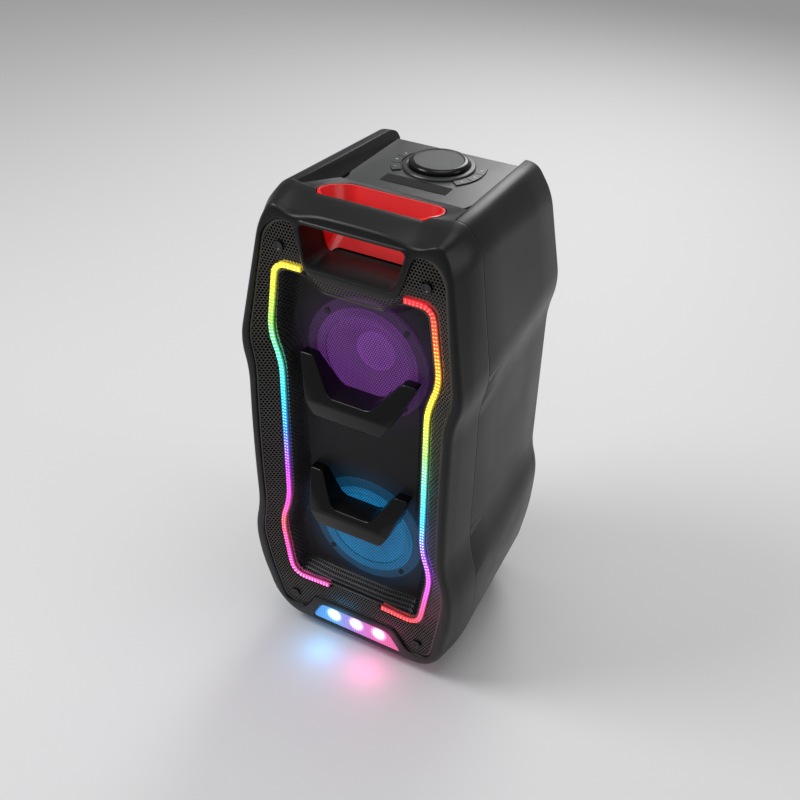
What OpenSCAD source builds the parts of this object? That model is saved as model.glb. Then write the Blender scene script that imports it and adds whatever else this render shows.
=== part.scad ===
// Tall party speaker with two woofers, light strips, a carry handle and a top control panel.
// X is to the right, Y goes back from the front, Z is up; the origin is under the middle of the body.

/* [Body] */
// Depth of the front frame, from the datum plane to the parting line
frame_d = 54; // [50:1:58]
// Depth from the datum plane to the back wall
body_d = 281; // [270:1:290]
// Height of the feet under the shell
foot_h = 16; // [14:1:18]
// Wall of the rear shell
wall = 5; // [4:0.5:7]
// How far the front frame bows forward in the middle of its height
bow = 22; // [10:1:26]

/* [Woofers] */
// Height of the upper woofer's axis
upper_z = 498; // [490:1:505]
// Height of the lower woofer's axis
lower_z = 212; // [208:1:218]
// Outer radius of the cone paper
cone_r = 60; // [56:1:62]
// Radius of the dust cap
cap_r = 28; // [22:1:30]

/* [Top panel] */
// Height of the control panel's upper face
panel_z = 687; // [686:0.5:688]
// Depth of the knob's axis behind the datum plane
knob_f = 222; // [218:1:224]
// Radius of the volume knob
knob_r = 39; // [34:0.5:40]
// Height of the knob above the panel
knob_h = 10; // [8:1:14]
// How far a key travels when it is pressed
key_travel = 0.6; // [0.4:0.1:0.8]

/* [Lights] */
// Width of the light guide that runs down each side
guide_w = 7; // [5:0.5:8]
// Number of lamps behind the bottom lens
lamp_count = 3; // [1:2:5]

/* [Rear panel] */
// Width of the terminal panel
rear_w = 200; // [190:5:210]
// Height of the terminal panel
rear_h = 130; // [126:2:140]
// Height of the terminal panel's centre
rear_z = 580; // [560:5:585]
// Radius of the bass port
port_r = 34; // [28:1:38]
// Height of the bass port's axis
port_z = 150; // [140:1:170]

/* [Hidden] */

fine = 64;
gap = 0.4;
datum_y = 9 - (body_d + 9 - 16 + 18) / 2;
seam = 0.8;
middle_z = 360;
half_h = 330;
nose = -16;
corner_steps = 4;
plastic = "#2b2c2e";
dark = "#141516";
light_grey = "#45484b";

// Half outlines, seen from the front: [half width, height, corner size], from top centre to bottom centre
front_edge = [[0, 699, 40], [50, 698, 20], [83, 690, 14], [112, 702, 12], [129, 672, 30], [157, 510, 22],
    [146, 468, 22], [146, 354, 60], [146, 240, 24], [159, 186, 28], [156, 128, 40], [140, 50, 40], [116, 18, 24],
    [66, 15, 20], [0, 15, 20]];
parting_edge = [[0, 706, 40], [50, 706, 20], [84, 706, 14], [117, 712, 20], [139, 684, 36], [161, 516, 24],
    [150, 470, 24], [150, 358, 60], [150, 246, 26], [165, 190, 28], [163, 134, 40], [150, 58, 44], [120, 20, 30],
    [66, 20, 20], [0, 20, 20]];
rear_edge = [[0, 699, 40], [50, 699, 20], [84, 699, 14], [113, 699, 20], [136, 664, 40], [159, 544, 24],
    [148, 498, 24], [148, 380, 60], [148, 262, 26], [159, 224, 28], [155, 150, 40], [140, 66, 44], [112, 24, 30],
    [66, 24, 20], [0, 24, 20]];
grille_edge = [[0, 622, 20], [62, 622, 14], [80, 681, 9], [104, 682, 16], [122, 664, 16], [144, 516, 18],
    [134.5, 478, 20], [134.5, 358, 60], [134.5, 238, 20], [145.5, 188, 24], [139, 128, 40], [122, 42, 18], [86, 40, 10],
    [66, 78, 10], [0, 78, 20]];
guide_outer_edge = [[0, 602.5, 20], [40, 602.5, 8], [62, 617, 4], [67.3, 628, 3], [109, 627.7, 26],
    [122.8, 524, 24], [107.8, 480, 24], [107.8, 366, 60], [107.8, 252, 24], [122.8, 205, 26], [107, 103, 22], [70, 103, 10],
    [42, 106, 4], [36, 113, 3], [0, 113.5, 20]];
recess_edge = [[0, 602, 20], [40, 602, 10], [62, 616.6, 5], [70, 619, 5], [102, 619, 22], [115, 524, 20], [100, 482, 20],
    [100, 248, 20], [115, 204, 24], [101, 111, 18], [44, 114, 8], [0, 114, 20]];
guide_path = [[44, 110, 4], [104, 107, 22], [119, 205, 26], [104, 251, 22], [104, 481, 22],
    [119, 524, 22], [106, 623.5, 26], [69, 623.5, 4]];

// Bend of one corner, as points on a smooth curve that leaves the sides t before the corner
function side(p, q, t) = p + t * (q - p) / norm(q - p);
function bend(a, p, b, r) =
    let (t = min(r, 0.45 * norm(a - p), 0.45 * norm(b - p)), s = side(p, a, t), e = side(p, b, t))
    [for (i = [0 : corner_steps])
        let (u = i / corner_steps) (1 - u) * (1 - u) * s + 2 * u * (1 - u) * p + u * u * e];
function flat(p) = [p[0], p[1]];
function both_sides(half) =
    concat(half, [for (i = [len(half) - 2 : -1 : 1]) [-half[i][0], half[i][1], half[i][2]]]);
function rounded(c) =
    let (n = len(c))
    [for (i = [0 : n - 1]) each bend(flat(c[(i + n - 1) % n]), flat(c[i]), flat(c[(i + 1) % n]), c[i][2])];
function outline(half) = rounded(both_sides(half));

// The same outline drawn in by d all round, and a blend of two outlines
function inset(half, d) =
    [for (p = half) [max(p[0] - (p[0] > 0 ? d : 0), 0), p[1] - d * (p[1] - middle_z) / abs(p[1] - middle_z),
        p[2]]];
function blend(a, b, t) = [for (i = [0 : len(a) - 1]) (1 - t) * a[i] + t * b[i]];

// Depth of the bowed front at a height, and an outline as a ring of points in space
function front_f(z) = nose + bow * pow((z - middle_z) / half_h, 2);
function ring(half, f) = [for (p = outline(half)) [p[0], f, p[1]]];
function bowed_ring(half, f) = [for (p = outline(half)) [p[0], f + front_f(p[1]), p[1]]];

// Skin between neighbouring rings of equal length
function skin_faces(a, b, n) =
    [for (i = [0 : n - 1]) let (j = (i + 1) % n) each [[a + i, b + i, b + j], [a + i, b + j, a + j]]];

// Closed body through rings that run from front to back; each end is a fan about its middle
module loft(rings) {
    n = len(rings[0]);
    m = len(rings);
    skins = [for (k = [0 : m - 2]) each skin_faces(k * n, (k + 1) * n, n)];
    front_mid = [0, rings[0][0][1], middle_z];
    back_mid = [0, rings[m - 1][0][1], middle_z];
    front = [for (i = [0 : n - 1]) [m * n, i, (i + 1) % n]];
    back = [for (i = [0 : n - 1]) [m * n + 1, (m - 1) * n + (i + 1) % n, (m - 1) * n + i]];
    polyhedron(points = concat([for (r = rings) each r], [front_mid, back_mid]),
        faces = concat(front, skins, back));
}

// Closed frame through rings that run round its section and end where they began
module frame_loft(rings) {
    n = len(rings[0]);
    m = len(rings);
    polyhedron(points = [for (r = rings) each r],
        faces = [for (k = [0 : m - 1]) each skin_faces(((k + 1) % m) * n, k * n, n)]);
}

// Datum frame: children are drawn with Y as the depth behind the datum plane
module datum() {
    translate([0, datum_y, 0]) children();
}

// A front-view shape made solid between two depths
module slab(f0, f1) {
    translate([0, f1, 0]) rotate([90, 0, 0]) linear_extrude(f1 - f0) children();
}

// A side-view shape (depth, height) made solid across the width w
module beam(w) {
    translate([-w / 2, 0, 0]) rotate([90, 0, 90]) linear_extrude(w) children();
}

// A round piece on an axis that runs front to back; its profile is (radius, depth)
module turned_f(z, x = 0) {
    translate([x, 0, z]) rotate([-90, 0, 0]) rotate_extrude($fn = fine) children();
}

module rod_f(r, f0, f1, x, z) {
    translate([x, f0, z]) rotate([-90, 0, 0]) cylinder(r = r, h = f1 - f0, $fn = fine);
}

module block(x0, x1, f0, f1, z0, z1) {
    translate([x0, f0, z0]) cube([x1 - x0, f1 - f0, z1 - z0]);
}

// Handle: opening in the front face and the bowl behind it
handle_top = 683;
handle_low = 634;
liner_wall = 3;
liner_gap = 1.2;
scoop_f0 = 46;
scoop_f1 = 116;
opening_edge = [[0, handle_top, 20], [71, handle_top, 10], [59, handle_low, 11], [0, handle_low, 20]];

module handle_opening(grow) {
    polygon(outline(inset_box(opening_edge, -grow)));
}

function inset_box(half, d) =
    let (mid = (handle_top + handle_low) / 2)
    [for (p = half) [p[0] > 0 ? p[0] - d : 0, p[1] - d * (p[1] > mid ? 1 : -1), p[2]]];

module bowl(grow) {
    hull() {
        slab(scoop_f0 - 1, scoop_f0) handle_opening(grow - 2);
        translate([0, 0, 715]) linear_extrude(1) scoop_plan(grow);
        translate([0, 0, 650 - grow]) linear_extrude(1)
            polygon(rounded([[62 + grow, 56 - grow, 10], [62 + grow, 92 + grow, 20],
                [-62 - grow, 92 + grow, 20], [-62 - grow, 56 - grow, 10]]));
    }
}

module scoop_plan(grow) {
    polygon(rounded([[68 + grow, scoop_f0 - grow, 14], [80 + grow, scoop_f0 + 34, 14],
        [66 + grow, scoop_f1 + grow, 18], [-66 - grow, scoop_f1 + grow, 18],
        [-80 - grow, scoop_f0 + 34, 14], [-68 - grow, scoop_f0 - grow, 14]]));
}

// Deck round the scoop: height against depth
deck_f = 128;
module deck_profile() {
    polygon([[scoop_f0, 600], [scoop_f0, 704.6], [frame_d, 706], [deck_f, panel_z + 1], [deck_f, 600]]);
}

// Lamp opening at the foot of the front frame
lamp_edge = [[0, 66, 20], [56, 66, 10], [76, 28, 9], [0, 28, 20]];
module lamp_shape(grow) {
    polygon(outline([for (p = lamp_edge) [p[0] > 0 ? p[0] + grow : 0, p[1] + (p[1] > 47 ? grow : -grow), p[2]]]));
}

module front_bezel() {
    color(plastic) datum() difference() {
        frame_loft([ring(parting_edge, frame_d),
            bowed_ring(blend(front_edge, parting_edge, 0.5), 22),
            bowed_ring(front_edge, 7),
            bowed_ring(inset(front_edge, 2), 2.5),
            bowed_ring(inset(front_edge, 5), 0),
            bowed_ring(blend(front_edge, grille_edge, 0.75), 0),
            bowed_ring(grille_edge, 3),
            ring(grille_edge, frame_d)]);
        slab(-40, frame_d + 1) handle_opening(0);
        intersection() {
            bowl(liner_wall + liner_gap);
            block(-120, 120, scoop_f0 - gap, 200, 500, 800);
        }
        slab(-40, frame_d + 1) lamp_shape(0);
    }
}

module shell_cavity() {
    difference() {
        loft([ring(inset(parting_edge, wall), frame_d - 1),
            ring(inset(rear_edge, wall + 1), body_d - wall - 2)]);
        block(-200, 200, 0, 400, panel_z - 11, 800);
    }
}

// Trough between the rails, above the deck and the panel's seat
module rail_trough() {
    intersection() {
        slab(20, 400) polygon([[-88.4, 640], [88.4, 640], [88.4, panel_z], [115, 728], [-115, 728],
            [-88.4, panel_z]]);
        beam(300) polygon([[20, 706], [frame_d, 706], [deck_f, panel_z + 1], [deck_f, panel_z - 3],
            [400, panel_z - 3], [400, 760], [20, 760]]);
    }
}

foot_places = [for (x = [-92, 92]) for (f = [78, 244]) [x, f]];

module rear_cabinet() {
    color(plastic) datum() difference() {
        union() {
            difference() {
                loft([ring(parting_edge, frame_d + seam),
                    ring(blend(parting_edge, rear_edge, 0.95), body_d - 12),
                    ring(inset(rear_edge, 2.5), body_d - 4),
                    ring(inset(rear_edge, 6), body_d)]);
                shell_cavity();
            }
            for (p = foot_places)
                translate([p[0], p[1], foot_h]) cylinder(r = 17, h = 16, $fn = fine);
        }
        rail_trough();
        intersection() {
            bowl(liner_wall + liner_gap);
            block(-120, 120, scoop_f0, 200, 500, 800);
        }
        block(-76, 76, 142, 270, 600, panel_z);
        block(-rear_w / 2 + 8, rear_w / 2 - 8, 200, 400, rear_z - rear_h / 2 + 8, rear_z + rear_h / 2 - 8);
        block(-rear_w / 2 - gap, rear_w / 2 + gap, body_d - 3, 400, rear_z - rear_h / 2 - gap,
            rear_z + rear_h / 2 + gap);
        rod_f(port_r + 3 + gap, 200, 400, 0, port_z);
        rod_f(port_r + 12 + gap, body_d - 2, 400, 0, port_z);
        for (p = cabinet_screw_places)
            rod_f(2.2, 200, 400, p[0], p[1]);
        for (p = cabinet_screw_places)
            rod_f(5.4, body_d - 3.4, 400, p[0], p[1]);
    }
}

cabinet_screw_places = [for (x = [-125, 125]) for (z = [100, 220, 480, 600]) [x, z]];

module cabinet_screws() {
    color("#3a3a3c") datum() for (p = cabinet_screw_places) {
        rod_f(5, body_d - 3.3, body_d - 0.6, p[0], p[1]);
        rod_f(2, body_d - 20, body_d - 3.3, p[0], p[1]);
    }
}

module handle_liner() {
    color("#e0131a") datum() intersection() {
        difference() {
            bowl(liner_wall);
            bowl(0);
            block(-54, 54, scoop_f0 - 5, scoop_f0 + 4, 638, 680);
        }
        beam(200) deck_profile();
    }
}

panel_edge = [[88, 151, 2], [79, deck_f + gap, 3], [-79, deck_f + gap, 3], [-88, 151, 2],
    [-88, body_d - 6, 2], [88, body_d - 6, 2]];
display_f = 160;
display_w = 90;
display_d = 21;
key_r0 = 49.5;
key_r1 = 61;
key_sweep = 21;
key_step = 22.4;
left_mid = 190;
right_mid = -10;

// One key's plan: a piece of a ring about the knob, grown by g
module key_plan(mid, g) {
    a = mid - key_sweep / 2;
    extra = atan(g / key_r1);
    steps = 10;
    span = key_sweep + 2 * extra;
    translate([0, knob_f]) polygon(concat(
        [for (i = [0 : steps]) (key_r1 + g) * [cos(a - extra + span * i / steps), sin(a - extra + span * i / steps)]],
        [for (i = [steps : -1 : 0]) (key_r0 - g) * [cos(a - extra + span * i / steps),
            sin(a - extra + span * i / steps)]]));
}

key_angles = [for (m = [left_mid, right_mid]) for (i = [-1 : 1]) m + i * key_step];

module control_panel() {
    color(light_grey) datum() difference() {
        translate([0, 0, panel_z - 3 + 0.05]) linear_extrude(2.95) polygon(rounded(panel_edge));
        translate([0, knob_f, panel_z - 10]) cylinder(r = 4.2, h = 20, $fn = fine);
        block(-display_w / 2 - gap / 2, display_w / 2 + gap / 2, display_f - display_d / 2 - gap / 2,
            display_f + display_d / 2 + gap / 2, panel_z - 10, panel_z + 10);
        for (a = key_angles)
            translate([0, 0, panel_z - 10]) linear_extrude(20) key_plan(a, gap);
    }
}

module key(angle) {
    mid_r = (key_r0 + key_r1) / 2;
    color("#303234") datum() {
        translate([0, 0, panel_z - 3]) linear_extrude(4.6) key_plan(angle, 0);
        translate([mid_r * cos(angle), knob_f + mid_r * sin(angle), panel_z - 13.2])
            cylinder(r = 2, h = 10.3, $fn = fine);
    }
}

module left_key_1() { key(key_angles[0]); }
module left_key_2() { key(key_angles[1]); }
module left_key_3() { key(key_angles[2]); }
module right_key_1() { key(key_angles[3]); }
module right_key_2() { key(key_angles[4]); }
module right_key_3() { key(key_angles[5]); }

board_z = panel_z - 19;

module key_switches() {
    mid_r = (key_r0 + key_r1) / 2;
    color("#8a8d90") datum() for (a = key_angles)
        translate([mid_r * cos(a), knob_f + mid_r * sin(a), board_z]) {
            translate([-3, -3, 0]) cube([6, 6, 3.6]);
            cylinder(r = 1.7, h = 5, $fn = fine);
        }
}

module control_board() {
    color("#1d5c33") datum() difference() {
        block(-72, 72, 145, 268, board_z - 1.6, board_z);
        for (x = [-66, 66])
            for (f = [151, 262])
                translate([x, f, board_z - 5]) cylinder(r = 1.7, h = 10, $fn = fine);
    }
}

module encoder() {
    color("#9a9c9e") datum() difference() {
        union() {
            translate([-7, knob_f - 7, board_z]) cube([14, 14, 7]);
            translate([0, knob_f, board_z + 7]) cylinder(r = 4, h = 8, $fn = fine);
        }
        translate([0, knob_f, board_z + 2]) cylinder(r = 3.05, h = 20, $fn = fine);
    }
}

module volume_knob() {
    top = panel_z + knob_h;
    color("#1a1b1c") datum() translate([0, knob_f, 0]) {
        rotate_extrude($fn = 96) polygon([[0, panel_z + 1], [knob_r - 1.5, panel_z + 1],
            [knob_r, panel_z + 3], [knob_r, top - 4], [knob_r - 1, top - 2], [knob_r - 3.5, top - 0.6],
            [knob_r - 7, top], [0, top]]);
        translate([0, 0, board_z + 2.4]) cylinder(r = 3, h = panel_z + 1.5 - board_z - 2.4, $fn = fine);
    }
}

module knob_ring() {
    color("#26282a") datum() translate([0, knob_f, 0]) rotate_extrude($fn = 96)
        polygon([[knob_r + 0.6, panel_z], [47, panel_z], [47, panel_z + 1.6], [45.6, panel_z + 3],
            [knob_r + 2, panel_z + 3.4], [knob_r + 0.6, panel_z + 2.6]]);
}

module display_window() {
    color("#08090a") datum() difference() {
        block(-display_w / 2, display_w / 2, display_f - display_d / 2, display_f + display_d / 2,
            panel_z - 2.4, panel_z + 0.4);
        block(-38, 38, display_f - 7, display_f + 7, panel_z - 5, panel_z - 1.4);
    }
}

module display_module() {
    color("#27402f") datum() {
        block(-40, 40, display_f - 9, display_f + 9, board_z, board_z + 6);
        block(-36, 36, display_f - 6, display_f + 6, board_z + 6, panel_z - 1.6);
    }
}

module outer_grille() {
    color("#3b3936") datum() difference() {
        frame_loft([bowed_ring(inset(grille_edge, 0.5), 3.6),
            ring(guide_outer_edge, 5),
            ring(guide_outer_edge, 7.4),
            bowed_ring(inset(grille_edge, 0.5), 6)]);
        for (p = grille_screw_places)
            rod_f(2.4, -40, 60, p[0], p[1]);
    }
}

grille_screw_places = [[-98, 648], [98, 648], [-102, 66], [102, 66]];

module grille_screws() {
    color("#1c1c1d") datum() for (p = grille_screw_places) {
        f = front_f(p[1]) + 1.6;
        turned_f(p[1], p[0]) polygon([[0, f], [3.6, f], [4.4, f - 1], [6, f - 1], [6, f + 1.2], [2, f + 2.2],
            [2, f + 22], [0, f + 22]]);
    }
}

pan_f = 30;

module woofer_grille() {
    color("#37353a") datum() difference() {
        loft([ring(recess_edge, 4), ring(recess_edge, 7.5), ring(inset(recess_edge, 18), pan_f + 2.2)]);
        loft([ring(inset(recess_edge, 2.2), 3), ring(inset(recess_edge, 2.2), 5.4),
            ring(inset(recess_edge, 20), pan_f)]);
    }
}

// Stroke of width w along an open path with rounded corners
function path_points(c) =
    [for (i = [0 : len(c) - 1]) each (i == 0 || i == len(c) - 1 ? [flat(c[i])]
        : bend(flat(c[i - 1]), flat(c[i]), flat(c[i + 1]), c[i][2]))];
function heading(p, i) =
    let (a = p[max(i - 1, 0)], b = p[min(i + 1, len(p) - 1)]) (b - a) / norm(b - a);
function shifted(p, d) = [for (i = [0 : len(p) - 1]) let (h = heading(p, i)) p[i] + d * [h[1], -h[0]]];
function stroke(p, w) =
    let (a = shifted(p, w / 2), b = shifted(p, -w / 2)) concat(a, [for (i = [len(b) - 1 : -1 : 0]) b[i]]);

module right_half_guide() {
    datum() slab(3, 11) polygon(stroke(path_points(guide_path), guide_w));
}

module right_half_board() {
    datum() slab(11.2, 12.8) polygon(stroke(path_points(guide_path), guide_w - 1.6));
}

module right_light_guide() { color("#e8f0f4") right_half_guide(); }
module left_light_guide() { color("#e8f0f4") mirror([1, 0, 0]) right_half_guide(); }
module right_light_board() { color("#d9d9d2") right_half_board(); }
module left_light_board() { color("#d9d9d2") mirror([1, 0, 0]) right_half_board(); }

// U-shaped bridge in front of a woofer: chin at the bottom, arms that lean back
module jaw(z0, spread) {
    color("#0b0b0c") datum() intersection() {
        slab(-30, pan_f - 0.1) polygon(outline([[0, z0 + 44, 12], [30, z0 + 44, 8], [spread - 20, z0 + 84, 4],
            [spread, z0 + 84, 4], [56, z0 + 24, 10], [34, z0, 8], [0, z0, 12]]));
        beam(240) polygon([[pan_f - 0.1, z0 - 1], [4, z0 - 1], [-11, z0 + 14], [-12, z0 + 34], [16, z0 + 85],
            [pan_f - 0.1, z0 + 85]]);
    }
}

module upper_jaw() { jaw(414, 84); }
module lower_jaw() { jaw(229, 76); }

baffle_f = 44;
baffle_t = 12;
baffle_z0 = 84;
baffle_z1 = 616;
flange_t = 4;
flange_r = 86;
mount_r = 79;
screw_count = 4;

module baffle() {
    color("#3a3026") datum() difference() {
        intersection() {
            slab(baffle_f, baffle_f + baffle_t) polygon(outline(inset(grille_edge, 2)));
            block(-160, 160, 0, 100, baffle_z0, baffle_z1);
        }
        for (z = [upper_z, lower_z]) {
            rod_f(74, 0, 100, 0, z);
            for (a = [45 : 90 : 315])
                rod_f(1.8, 0, 100, mount_r * cos(a), z + mount_r * sin(a));
        }
    }
}

module basket(z) {
    color("#4a4c4f") datum() difference() {
        turned_f(z) polygon([[flange_r, baffle_f - flange_t], [flange_r, baffle_f - 0.1],
            [73, baffle_f - 0.1], [71, baffle_f + 12], [46, baffle_f + 52], [46, baffle_f + 56],
            [20, baffle_f + 56], [20, baffle_f + 53], [42, baffle_f + 53], [42, baffle_f + 50],
            [67.5, baffle_f + 10], [69, baffle_f - flange_t]]);
        for (a = [0 : 60 : 300])
            translate([0, baffle_f + 30, z]) rotate([0, a, 0]) translate([-14, -14, 30]) cube([28, 30, 60]);
        for (a = [45 : 90 : 315])
            rod_f(2.3, 0, 60, mount_r * cos(a), z + mount_r * sin(a));
    }
}

module upper_basket() { basket(upper_z); }
module lower_basket() { basket(lower_z); }

module basket_screws() {
    color("#5a5c60") datum() for (z = [upper_z, lower_z])
        for (a = [45 : 90 : 315]) {
            rod_f(3.8, baffle_f - flange_t - 2.2, baffle_f - flange_t, mount_r * cos(a), z + mount_r * sin(a));
            rod_f(1.75, baffle_f - flange_t, baffle_f + 16, mount_r * cos(a), z + mount_r * sin(a));
        }
}

cone_f = baffle_f - 2.5;
cone_depth = 30;
former_r = 18;

// Half roll between the cone's edge and the flange
module surround(z) {
    r0 = cone_r + 0.6;
    r1 = 72.5;
    mid = (r0 + 2 + r1 - 3.5) / 2;
    half = (r1 - 3.5 - r0 - 2) / 2;
    face = baffle_f - flange_t - 1;
    color("#1b1b1c") datum() turned_f(z) polygon(concat(
        [[r0, face + 1], [r0, face]],
        [for (a = [180 : -15 : 0]) [mid + half * cos(a), face - half * sin(a)]],
        [[r1, face], [r1, face + 0.9]],
        [for (a = [0 : 15 : 180]) [mid + (half - 0.9) * cos(a), face + 0.9 - (half - 0.9) * sin(a)]]));
}

module upper_surround() { surround(upper_z); }
module lower_surround() { surround(lower_z); }

module cone(z) {
    color("#2a2a2d") datum() turned_f(z) polygon([[cone_r, cone_f], [cone_r, cone_f + 1.2],
        [former_r + 1, cone_f + cone_depth + 1.5], [former_r + 1, cone_f + cone_depth + 32],
        [former_r, cone_f + cone_depth + 32], [former_r, cone_f + cone_depth],
        [cap_r + 0.5, cone_f + cone_depth * (cone_r - cap_r) / (cone_r - former_r) - 1.2],
        [cone_r - 1, cone_f]]);
}

module upper_cone() { cone(upper_z); }
module lower_cone() { cone(lower_z); }

module dust_cap(z) {
    seat = cone_f + cone_depth * (cone_r - cap_r) / (cone_r - former_r) - 1.5;
    rise = 9;
    dome = (cap_r * cap_r + rise * rise) / (2 * rise);
    turn = asin(cap_r / dome);
    color("#232326") datum() turned_f(z) polygon(concat(
        [for (i = [0 : 8]) let (a = turn * i / 8) [dome * sin(a), seat - rise + dome - dome * cos(a)]],
        [for (i = [8 : -1 : 0]) let (a = turn * i / 8) [(dome - 0.8) * sin(a),
            seat - rise + dome - (dome - 0.8) * cos(a)]]));
}

module upper_dust_cap() { dust_cap(upper_z); }
module lower_dust_cap() { dust_cap(lower_z); }

// Corrugated centring disc between the former and the basket
module spider(z) {
    f = baffle_f + 50.9;
    color("#b08a4a") datum() turned_f(z) polygon(concat(
        [for (i = [0 : 10]) [former_r + 1.4 + i * 2.2, f + (i % 2) * 1.2]],
        [for (i = [10 : -1 : 0]) [former_r + 1.4 + i * 2.2, f + 0.8 + (i % 2) * 1.2]]));
}

module upper_spider() { spider(upper_z); }
module lower_spider() { spider(lower_z); }

module magnet(z) {
    f = baffle_f + 56.1;
    color("#2e3032") datum() turned_f(z) polygon([[former_r + 1.4, f], [44, f], [44, f + 26], [0, f + 26],
        [0, f], [former_r - 0.5, f], [former_r - 0.5, f + 16], [former_r + 1.4, f + 16]]);
}

module upper_magnet() { magnet(upper_z); }
module lower_magnet() { magnet(lower_z); }

lens_f = front_f(47) + 3;

module lamp_lens() {
    color("#cfd8ee") datum() slab(lens_f, lens_f + 3) lamp_shape(-0.3);
}

module lamp_housing() {
    color("#e9e9ea") datum() difference() {
        slab(lens_f + 3.2, frame_d - 4) lamp_shape(-0.3);
        slab(lens_f + 3, frame_d - 7) lamp_shape(-2.4);
    }
}

module lamp_leds() {
    pitch = 38;
    f = frame_d - 7.2;
    color("#f7f7f0") datum() {
        block(-50, 50, f - 1.6, f, 36, 58);
        for (i = [0 : lamp_count - 1])
            turned_f(47, (i - (lamp_count - 1) / 2) * pitch)
                polygon([[0, f - 1.6], [8, f - 1.6], [8, f - 4], [6, f - 8], [0, f - 10]]);
    }
}

rocker_x = -62;
rocker_z = rear_z - 38;
inlet_x = -30;
inlet_z = rear_z - 38;
jack_r = 3.2;
mic_x = 35;
guitar_x = 70;
jack_z = rear_z + 30;
trim_z = rear_z - 5;
usb_x = -62;
usb_z = rear_z + 30;
aux_x = -28;
trim_r = 7.5;

module rear_panel() {
    color("#1b1c1e") datum() difference() {
        block(-rear_w / 2, rear_w / 2, body_d - 2.9, body_d, rear_z - rear_h / 2, rear_z + rear_h / 2);
        for (x = [mic_x, guitar_x]) {
            rod_f(5.3, 200, 400, x, jack_z);
            rod_f(3.4, 200, 400, x, trim_z);
        }
        rod_f(3.6, 200, 400, aux_x, usb_z);
        block(usb_x - 7.4, usb_x + 7.4, 200, 400, usb_z - 3.9, usb_z + 3.9);
        block(inlet_x - 12.2, inlet_x + 12.2, 200, 400, inlet_z - 9.2, inlet_z + 9.2);
        block(rocker_x - 7.2, rocker_x + 7.2, 200, 400, rocker_z - 10.2, rocker_z + 10.2);
        for (x = [-92, 0, 92])
            for (z = [-57, 57])
                rod_f(1.8, 200, 400, x, rear_z + z);
    }
}

// Two-pin mains inlet: a socket with a figure-of-eight well and two pins
module power_inlet() {
    color("#0e0f10") datum() {
        difference() {
            block(inlet_x - 12, inlet_x + 12, body_d - 24, body_d + 0.6, inlet_z - 9, inlet_z + 9);
            slab(body_d - 19, body_d + 1) polygon(rounded([
                for (p = [[-8, 4.5], [8, 4.5], [8, -4.5], [-8, -4.5]]) [inlet_x + p[0], inlet_z + p[1], 4]]));
        }
        for (s = [-4.2, 4.2])
            rod_f(1.2, body_d - 19.5, body_d - 6, inlet_x + s, inlet_z);
    }
}

module switch_frame() {
    color("#0e0f10") datum() difference() {
        block(rocker_x - 7, rocker_x + 7, body_d - 16, body_d + 1, rocker_z - 10, rocker_z + 10);
        block(rocker_x - 5, rocker_x + 5, body_d - 13, body_d + 2, rocker_z - 8, rocker_z + 8);
        rod_x(1.02, rocker_x - 6.4, rocker_x + 6.4, body_d - 5, rocker_z);
    }
}

module rod_x(r, x0, x1, f, z) {
    translate([x0, f, z]) rotate([0, 90, 0]) cylinder(r = r, h = x1 - x0, $fn = fine);
}

rocker_tilt = 8;

module power_rocker() {
    color("#b3141a") datum() {
        beam_at(rocker_x, 9.4) polygon([[body_d - 9, rocker_z - 4], [body_d - 9, rocker_z + 4],
            [body_d - 2.2, rocker_z + 6.6], [body_d + 0.4, rocker_z + 6.4], [body_d - 1, rocker_z],
            [body_d + 0.4, rocker_z - 6.4], [body_d - 2.2, rocker_z - 6.6]]);
        rod_x(1, rocker_x - 6.2, rocker_x + 6.2, body_d - 5, rocker_z);
    }
}

module beam_at(x, w) {
    translate([x, 0, 0]) beam(w) children();
}

module jack(x, z, collar, r, body_r, depth) {
    turned_f(z, x) polygon([[r, body_d - depth], [body_r, body_d - depth], [body_r, body_d + 0.2],
        [collar, body_d + 0.2], [collar, body_d + 2.6], [r + 0.6, body_d + 2.6], [r, body_d + 2]]);
}

module microphone_jack() { color("#b9bcc0") datum() jack(mic_x, jack_z, 7.5, jack_r, 5, 26); }
module guitar_jack() { color("#b9bcc0") datum() jack(guitar_x, jack_z, 7.5, jack_r, 5, 26); }
module aux_jack() { color("#b9bcc0") datum() jack(aux_x, usb_z, 4.4, 1.78, 3.3, 14); }

module usb_socket() {
    color("#b9bcc0") datum() {
        difference() {
            block(usb_x - 7, usb_x + 7, body_d - 16, body_d + 0.4, usb_z - 3.5, usb_z + 3.5);
            block(usb_x - 6.2, usb_x + 6.2, body_d - 14, body_d + 1, usb_z - 2.7, usb_z + 2.7);
        }
        block(usb_x - 5.4, usb_x + 5.4, body_d - 14.5, body_d - 1.5, usb_z - 0.3, usb_z + 1.5);
    }
}

module trim_knob(x) {
    color("#242527") datum() {
        difference() {
            rod_f(trim_r, body_d + 0.6, body_d + 9, x, trim_z);
            block(x - 0.6, x + 0.6, body_d + 8.2, body_d + 10, trim_z + 1, trim_z + trim_r + 1);
        }
        rod_f(3, body_d - 14, body_d + 0.6, x, trim_z);
    }
}

module microphone_knob() { trim_knob(mic_x); }
module guitar_knob() { trim_knob(guitar_x); }

board_f = body_d - 32;

module amplifier_board() {
    color("#1d5c33") datum() {
        block(-88, 88, board_f, board_f + 1.6, rear_z - 56, rear_z + 56);
        for (x = [-70 : 20 : 10])
            rod_f(6, board_f - 16, board_f, x, rear_z - 30);
        for (x = [mic_x, guitar_x])
            block(x - 6, x + 6, board_f + 1.6, board_f + 12, trim_z - 6, trim_z + 6);
    }
}

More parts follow.
